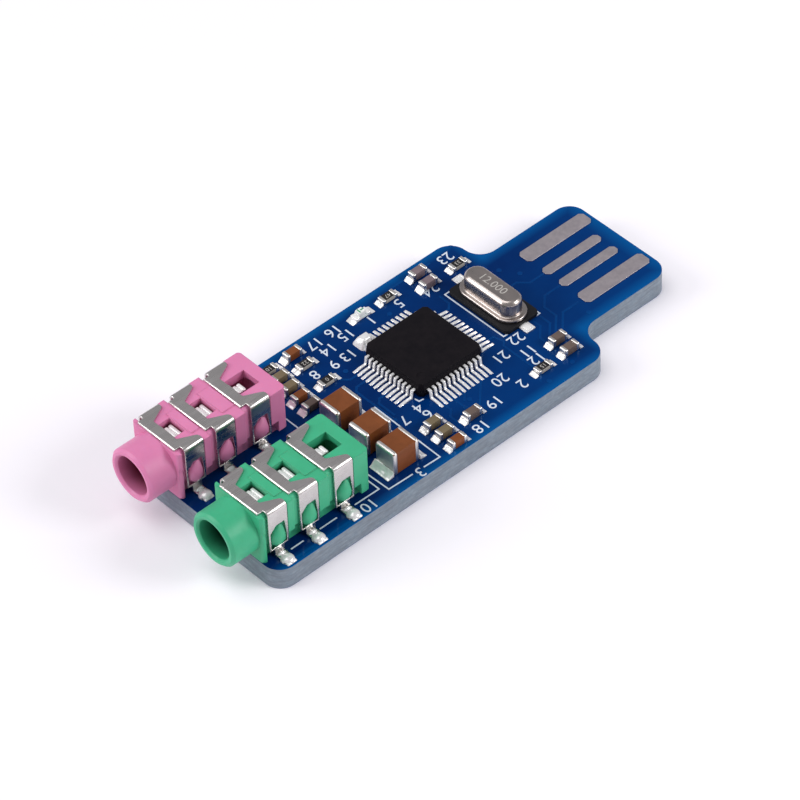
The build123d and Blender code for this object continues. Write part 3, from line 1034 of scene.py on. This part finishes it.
@dataclass
class Jack(SubAssembly):
    """One audio jack: its housing, three springs and the solder at six feet."""

    color: str = "pink"
    housing_round: float = 0.07 * MM
    sheet_round: float = 0.05 * MM
    foot_from_edge: float = 1.6 * MM
    toe_drop: Three = (0.60 * MM, 0.62 * MM, 0.46 * MM)
    heel_drop: Three = (0.48 * MM, 0.25 * MM, 0.40 * MM)
    pad_share: float = 0.66
    foot_reach: float = 1.4 * MM
    toe_inset: float = 0.26 * MM
    heel_inset: float = 0.95 * MM
    swell: float = 0.05 * MM
    pad_skin: tuple[float, float, int] = (0.05 * MM, 0.03 * MM, 30)
    springs: tuple[str, ...] = ("sleeve", "ring", "tip")
    # Latches that the springs snap over: each an egg that leans towards the plug
    wall_from_toe: float = 1.41 * MM
    latch_height: float = 1.78 * MM
    latch_foot: Three = (0.74 * MM, 0.62 * MM, 0.80 * MM)
    latch_stretch: float = 1.5
    latch_lean: float = 0.36 * MM
    latch_taper: Three = (0.8, 0.55, 1.0)
    latch_reach: float = 1.5 * MM
    latch_sink: float = 0.06 * MM
    latch_rise: float = 0.002 * MM
    latch_crown: float = 0.999
    # Faces round and across a latch and a drop of solder
    latch_faces: tuple[int, int] = (36, 24)
    drop_faces: tuple[int, int] = (28, 16)
    # Tips of the springs' slanted arms, the rolled front of their straps, and the contact
    # tongues, each with two rolls across it
    arm_tip: float = 2.2 * MM
    arm_drop: float = 0.3 * MM
    arm_round: float = 0.24 * MM
    strap_round: float = 0.16 * MM
    tongue_half: float = 0.7 * MM
    # Corners of a tongue's profile, and how far each moves: from the front edge, and downwards
    tongue_moves: tuple[tuple[Two, Two], ...] = (
        ((1.22, 0.22), (-0.20, 0.0)), ((1.371, 0.0), (-0.34, 0.0)),
        ((1.525, 1.02), (-0.30, 0.0)), ((1.617, 0.643), (-0.24, 0.157)),
        ((2.0625, 0.54), (0.04, 0.48)), ((1.916, 0.376), (0.18, 0.424)),
    )
    roll_from_edge: Two = (1.57 * MM, 2.01 * MM)
    roll_size: Two = (0.38 * MM, 0.30 * MM)
    roll_depth: float = 0.78 * MM
    roll_round: float = 0.14 * MM
    roll_length: Three = (1.5 * MM, 1.5 * MM, 0.95 * MM)

    def build(self) -> None:
        """Finish the housing, the springs and the solder."""
        self.housing()
        for name, length in zip(self.springs, self.roll_length):
            self.spring(f"{self.color}_{name}_spring", length)
        self.solder_pads()
        self.solder_feet()

    def box(self, name: str) -> tuple[Vector, Vector]:
        """The box of one of the jack's springs."""
        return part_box(f"{self.color}_{name}_spring")

    def housing(self) -> None:
        """Finish the housing, with a smooth latch in place of each flat one."""
        node = f"{self.color}_jack_housing"
        places = [(at, hand) for name in self.springs for at, hand in self.latch_places(name)]
        shell = self.copied(node)
        self.clear_latches(shell, places)
        Bench.round_edges(shell, self.housing_round, 2, tight=True)
        latches = [self.latch(at, hand) for at, hand in places]
        self.stand_in(Bench.join(f"{node}_finished", [shell, *latches]), node, self.color)

    def latch_places(self, name: str) -> list[tuple[Vector, int]]:
        """Find where one spring's latches stand on the housing's walls.

        Args:
            name: The spring's name without its colour.

        Returns:
            The middle of each latch's foot, and the side that it faces.
        """
        low, high = self.box(name)
        x = low.x + self.foot_from_edge
        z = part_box("circuit_board")[1].z + self.latch_height
        return [
            (Vector((x, high.y - self.wall_from_toe, z)), 1),
            (Vector((x, low.y + self.wall_from_toe, z)), -1),
        ]

    def clear_latches(self, shell: Piece, places: list[tuple[Vector, int]]) -> None:
        """Take the flat latches off the walls and close the walls.

        Args:
            shell: The welded housing.
            places: Where the latches stand, and the sides that they face.
        """
        Bench.pick(shell)
        for part in (*shell.data.vertices, *shell.data.edges):
            part.select = False
        for face in shell.data.polygons:
            face.select = any(
                (face.center - at).length < self.latch_reach
                and hand * (face.center.y - at.y) > self.latch_rise
                for at, hand in places
            )
        bpy.context.tool_settings.mesh_select_mode = (False, False, True)
        bpy.ops.object.mode_set(mode="EDIT")
        bpy.ops.mesh.delete(type="FACE")
        bpy.ops.mesh.select_all(action="SELECT")
        bpy.ops.mesh.fill_holes(sides=0)
        bpy.ops.mesh.select_all(action="SELECT")
        bpy.ops.mesh.dissolve_limited(angle_limit=FLAT)
        bpy.ops.object.mode_set(mode="OBJECT")
        bpy.context.tool_settings.mesh_select_mode = (True, False, False)

    def latch(self, at: Vector, hand: int) -> Piece:
        """Mould one latch.

        Args:
            at: The middle of its foot, on the wall.
            hand: The side that it faces, 1 or -1 along Y.

        Returns:
            A closed half egg with its place in its mesh.
        """
        egg = Bench.ball(at, self.latch_foot, *self.latch_faces)
        with Bench.opened(egg, lambda co: co.z > at.z + CLOSE):
            bpy.ops.transform.resize(value=(1, 1, self.latch_stretch), center_override=at)
        crown = self.latch_foot[2] * self.latch_stretch
        easing = {
            "use_proportional_edit": True,
            "proportional_edit_falloff": "SMOOTH",
            "proportional_size": crown,
        }
        with Bench.opened(egg, lambda co: co.z > at.z + self.latch_crown * crown):
            bpy.ops.transform.translate(value=(self.latch_lean, 0, 0), **easing)
            bpy.ops.transform.resize(value=self.latch_taper, center_override=at, **easing)
        Bench.halve(egg, at - Vector((0, hand * self.latch_sink, 0)), (0, hand, 0))
        return egg

    def spring(self, node: str, length: float) -> None:
        """Finish one spring: rounded arm tips, a rolled front edge and a level, rolled tongue whose
        rolls wear a painted highlight.

        Args:
            node: The spring's node.
            length: How long the rolls across its tongue are.
        """
        low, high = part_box(node)
        middle = (low.y + high.y) / 2
        sheet = self.copied(node)
        with Bench.opened(
            sheet,
            lambda co: high.x - co.x < CLOSE
            and high.z - co.z < self.arm_drop
            and abs(abs(co.y - middle) - self.arm_tip) < 2 * CLOSE,
        ):
            bpy.ops.mesh.bevel(offset=self.arm_round, segments=5, affect="EDGES")
        with Bench.opened(sheet, lambda co: co.x - low.x < CLOSE and high.z - co.z < CLOSE):
            bpy.ops.mesh.bevel(offset=self.strap_round, segments=4, affect="EDGES")
        for (x, z), (along, down) in self.tongue_moves:
            corner = Vector((low.x + x * MM, middle, high.z - z * MM))
            with Bench.opened(
                sheet,
                lambda co, corner=corner: abs(co.y - middle) < self.tongue_half
                and Vector((co.x - corner.x, co.z - corner.z)).length < 4 * CLOSE,
            ):
                bpy.ops.transform.translate(value=(along * MM, 0, -down * MM))
        Bench.round_edges(sheet, self.sheet_round, 3)
        rolls = []
        for reach in self.roll_from_edge:
            at = Vector((low.x + reach, middle, high.z - self.roll_depth))
            roll = Bench.block(at, (self.roll_size[0], length, self.roll_size[1]))
            Bench.round_edges(roll, self.roll_round, 5)
            rolls.append(roll)
        piece = Bench.join(f"{node}_finished", [sheet, *rolls])
        # The rolls are the spring's own tinned sheet; the whiter lead finish on their faces is a
        # painted highlight
        self.stand_in(piece, node, "sheet", "lead")
        half = self.roll_size[1] / 2 + self.sheet_round
        Bench.dress(piece, lambda face: abs(face.center.z - at.z) < half)

    def solder_pads(self) -> None:
        """Stand softer and narrower pads in for the solder under the feet."""
        node = f"{self.color}_jack_solder"
        pads = self.copied(node)
        for name in self.springs:
            foot = self.box(name)[0].x + self.foot_from_edge
            with Bench.opened(pads, lambda co, foot=foot: abs(co.x - foot) < self.foot_reach):
                bpy.ops.transform.resize(value=(self.pad_share, 1, 1), center_override=(foot, 0, 0))
        Bench.melt(pads, *self.pad_skin)
        self.stand_in(pads, node, "solder")

    def solder_feet(self) -> None:
        """Set frozen drops of solder at the toe and the heel of each of the six feet."""
        board_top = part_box("circuit_board")[1].z
        drops = []
        for name in self.springs:
            low, high = self.box(name)
            for end, inward in ((low.y, 1), (high.y, -1)):
                for part, radii, inset in (
                    ("toe", self.toe_drop, self.toe_inset),
                    ("heel", self.heel_drop, self.heel_inset),
                ):
                    at = Vector((low.x + self.foot_from_edge, end + inward * inset, board_top))
                    drop = Bench.ball(at, radii, *self.drop_faces)
                    drop.name = f"{name}_{part}_drop"
                    Bench.ripple(drop, self.swell)
                    Bench.halve(drop, at, (0, 0, 1))
                    drops.append(drop)
        name = f"{self.color}_foot_solder"
        self.add_on(Bench.join(name, drops), name, f"{self.color}_jack_solder", "solder")


@dataclass
class Codec(SubAssembly):
    """The codec chip with its leads and solder."""

    plain: tuple[tuple[str, str, float, int], ...] = (
        ("codec_chip", "resin", 0.03 * MM, 2),
        ("chip_leads_plug_side", "lead", 0.02 * MM, 1),
        ("chip_leads_microphone_side", "lead", 0.02 * MM, 1),
        ("chip_leads_jack_side", "lead", 0.02 * MM, 1),
        ("chip_leads_headphone_side", "lead", 0.02 * MM, 1),
        ("chip_solder", "solder", 0.02 * MM, 1),
    )


@dataclass
class Crystal(SubAssembly):
    """The crystal: can, seat, leads and solder."""

    plain: tuple[tuple[str, str, float, int], ...] = (
        ("crystal_can", "can", 0.12 * MM, 3),
        ("crystal_seat", "seat", 0.06 * MM, 2),
        ("crystal_leads", "lead", 0.03 * MM, 2),
        ("crystal_solder", "solder", 0.05 * MM, 2),
    )
    number: str = "12.000"
    digit_height: float = 0.82 * MM
    cut: float = 0.008 * MM

    def build(self) -> None:
        """Finish its four nodes and number the can."""
        super().build()
        number = Bench.digits(
            self.number, self.top("crystal_can"), Reading.FROM_SIDE, self.digit_height, self.cut
        )
        self.add_on(number, "crystal_number", "crystal_can", "number")


@dataclass
class ChipParts(SubAssembly):
    """The ceramic capacitors and resistors with their plated ends and solder."""

    small_round: float = 0.06 * MM
    large_round: float = 0.13 * MM
    resistor_round: float = 0.03 * MM
    glaze_slope: float = 0.7
    small_paints: tuple[str, ...] = (
        "brown", "olive", "olive", "brown", "grey", "mauve", "mauve", "grey", "grey", "grey",
        "olive", "olive", "brown",
    )
    resistor_numbers: tuple[str, ...] = ("10", "22", "0", "47", "33", "15")
    number_height: float = 0.42 * MM
    number_cut: float = 0.006 * MM
    large_count: int = 3
    # Plated ends: how far they reach along the part, and how wide their edges are rounded
    small_ends: Two = (0.35 * MM, 0.11 * MM)
    large_ends: Two = (0.52 * MM, 0.22 * MM)
    resistor_ends: Two = (0.35 * MM, 0.08 * MM)
    # Fillets of solder: face size, unevenness, softness and breadth of the waves
    skins: tuple[tuple[str, float, float, int, float], ...] = (
        ("small_capacitor_solder", 0.045 * MM, 0.10 * MM, 16, 0.5 * MM),
        ("large_capacitor_solder", 0.06 * MM, 0.12 * MM, 14, 0.8 * MM),
        ("resistor_solder", 0.045 * MM, 0.10 * MM, 16, 0.5 * MM),
    )

    def build(self) -> None:
        """Finish the bodies, ends and solder of all three kinds."""
        small = [f"small_capacitor_{i + 1}" for i in range(len(self.small_paints))]
        large = [f"large_capacitor_{i + 1}" for i in range(self.large_count)]
        resistors = [f"resistor_{i + 1}" for i in range(len(self.resistor_numbers))]
        for node, paint in zip(small, self.small_paints):
            self.rounded(node, paint, self.small_round)
        for node in large:
            self.rounded(node, "brown", self.large_round)
        for node, text in zip(resistors, self.resistor_numbers):
            body = self.rounded(node, "alumina", self.resistor_round)
            body.data.materials.append(self.paints["glaze"])
            Bench.dress(body, lambda face: face.normal.z > self.glaze_slope)
            number = Bench.digits(
                text, self.top(node), Reading.FROM_PLUG, self.number_height, self.number_cut
            )
            self.add_on(number, f"{node}_number", node, "number")
        self.capped("small_capacitor_ends", small, *self.small_ends)
        self.capped("large_capacitor_ends", large, *self.large_ends)
        self.capped("resistor_ends", resistors, *self.resistor_ends)
        for node, *skin in self.skins:
            fillets = self.copied(node)
            Bench.melt(fillets, *skin)
            self.stand_in(fillets, node, "solder")


@dataclass
class Lamp(SubAssembly):
    """The indicator lamp."""

    band: float = 0.35 * MM
    body_round: float = 0.03 * MM
    ends_round: float = 0.06 * MM
    lens_round: float = 0.05 * MM
    bar: Two = (0.12 * MM, 0.46 * MM)
    stem: Two = (0.34 * MM, 0.12 * MM)
    mark_height: float = 0.012 * MM

    def build(self) -> None:
        """Finish its four nodes and mark its lens."""
        self.rounded("lamp_body", "lamp", self.body_round)
        self.capped("lamp_ends", ["lamp_body"], self.band, self.ends_round, "lead")
        self.rounded("lamp_lens", "lens", self.lens_round)
        self.rounded("lamp_solder", "solder", self.body_round)
        at = self.top("lamp_lens")
        bars = []
        for shift, (length, width) in ((-0.5, self.bar), (0.5, self.stem)):
            middle = at + Vector((shift * self.stem[0], 0, self.mark_height / 2))
            bars.append(Bench.block(middle, (length, width, self.mark_height)))
        self.add_on(Bench.join("lamp_mark", bars), "lamp_mark", "lamp_lens", "mark")


@dataclass
class Studio:
    """The floor, the light and the camera."""

    camera_at: Three = (-184.202 * MM, -211.753 * MM, 273.857 * MM)
    yaw: float = 49.047
    pitch: float = 44.325
    roll: float = -2.45
    focal_pixels: float = 4779.07
    frame_pixels: float = 800.0
    sensor: float = 36.0
    clip: Two = (0.01, 10.0)
    floor_half: float = 1.5
    floor_gap: float = 0.02 * MM
    floor_color: Three = (0.91, 0.885, 0.93)
    floor_glow: Three = (1.0, 0.97, 1.0)
    floor_glow_strength: float = 0.10
    floor_roughness: float = 0.9
    room_color: Three = (0.95, 0.95, 1.0)
    room_strength: float = 0.36
    # Name, kind, where it hangs or the side that it comes from, strength, and its width: an
    # angle for a far light, which is a SUN, and a length for a softbox, which is an AREA
    lights: tuple[tuple[str, str, Three, float, float], ...] = (
        ("overhead", "SUN", (-0.3, 0.25, 1.0), 1.05, math.radians(50.0)),
        ("right_box", "AREA", (0.235, -0.35, 0.27), 1.1, 0.20),
        ("left_box", "AREA", (-0.35, 0.27, 0.235), 0.9, 0.20),
    )

    def build(self) -> None:
        """Set up the whole studio."""
        self.floor()
        self.world()
        for light in self.lights:
            self.light(*light)
        self.camera()
        view = bpy.context.scene.view_settings
        view.view_transform = "Standard"
        view.look = "None"

    def floor(self) -> None:
        """Lay a plain pale floor under the board."""
        bpy.ops.mesh.primitive_plane_add(
            size=2 * self.floor_half, location=(0, 0, -self.floor_gap)
        )
        floor = bpy.context.active_object
        floor.name = "pale_floor"
        material = bpy.data.materials.new("pale_floor")
        material.use_nodes = True
        tree = Tree(material.node_tree)
        shader = tree.add(
            "ShaderNodeBsdfPrincipled", Roughness=self.floor_roughness, Specular_IOR_Level=0.0,
            Base_Color=(*self.floor_color, 1.0), Emission_Color=(*self.floor_glow, 1.0),
            Emission_Strength=self.floor_glow_strength,
        )
        tree.add("ShaderNodeOutputMaterial", Surface=shader.outputs["BSDF"])
        floor.data.materials.append(material)

    def world(self) -> None:
        """Light everything softly from all round."""
        world = bpy.data.worlds.new("soft_room")
        bpy.context.scene.world = world
        world.use_nodes = True
        tree = Tree(world.node_tree)
        room = tree.add(
            "ShaderNodeBackground", Color=(*self.room_color, 1.0), Strength=self.room_strength
        )
        tree.add("ShaderNodeOutputWorld", Surface=room.outputs["Background"])

    def light(self, name: str, kind: str, source: Three, energy: float, width: float) -> None:
        """Add a light that faces the board.

        Args:
            name: The light's name.
            kind: SUN for a far light, or AREA for a softbox.
            source: Where it hangs, or the side that a far light comes from.
            energy: Its strength, or a softbox's power in watts.
            width: The angle of a far light, or the length of a softbox's side.
        """
        lamp = bpy.data.lights.new(name, kind)
        lamp.energy = energy
        obj = Bench.bring(name, lamp)
        if kind == "AREA":
            lamp.size = width
            obj.location = source
        else:
            lamp.angle = width
        obj.rotation_euler = Vector(source).to_track_quat("Z", "Y").to_euler()

    def camera(self) -> None:
        """Stand the camera where the picture was taken from."""
        yaw, pitch, roll = (math.radians(a) for a in (self.yaw, self.pitch, self.roll))
        forward = Vector(
            (math.cos(pitch) * math.cos(yaw), math.cos(pitch) * math.sin(yaw), -math.sin(pitch))
        )
        data = bpy.data.cameras.new("camera")
        data.sensor_width = self.sensor
        data.lens = self.focal_pixels / self.frame_pixels * self.sensor
        data.clip_start, data.clip_end = self.clip
        camera = Bench.bring("camera", data)
        turn = forward.to_track_quat("-Z", "Y") @ Quaternion((0, 0, 1), roll)
        camera.matrix_world = Matrix.LocRotScale(Vector(self.camera_at), turn, None)
        bpy.context.scene.camera = camera


def main() -> None:
    """Build every sub-assembly in order, then the studio."""
    logging.basicConfig(level=logging.INFO, format="%(message)s")
    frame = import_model()
    paints = Palette().build(Effects())
    nodes = frame["nodes"]
    Board(nodes, paints).build()
    Jack(nodes, paints, color="pink").build()
    Jack(nodes, paints, color="green").build()
    Codec(nodes, paints).build()
    Crystal(nodes, paints).build()
    ChipParts(nodes, paints).build()
    Lamp(nodes, paints).build()
    Studio().build()


if __name__ == "__main__":
    main()
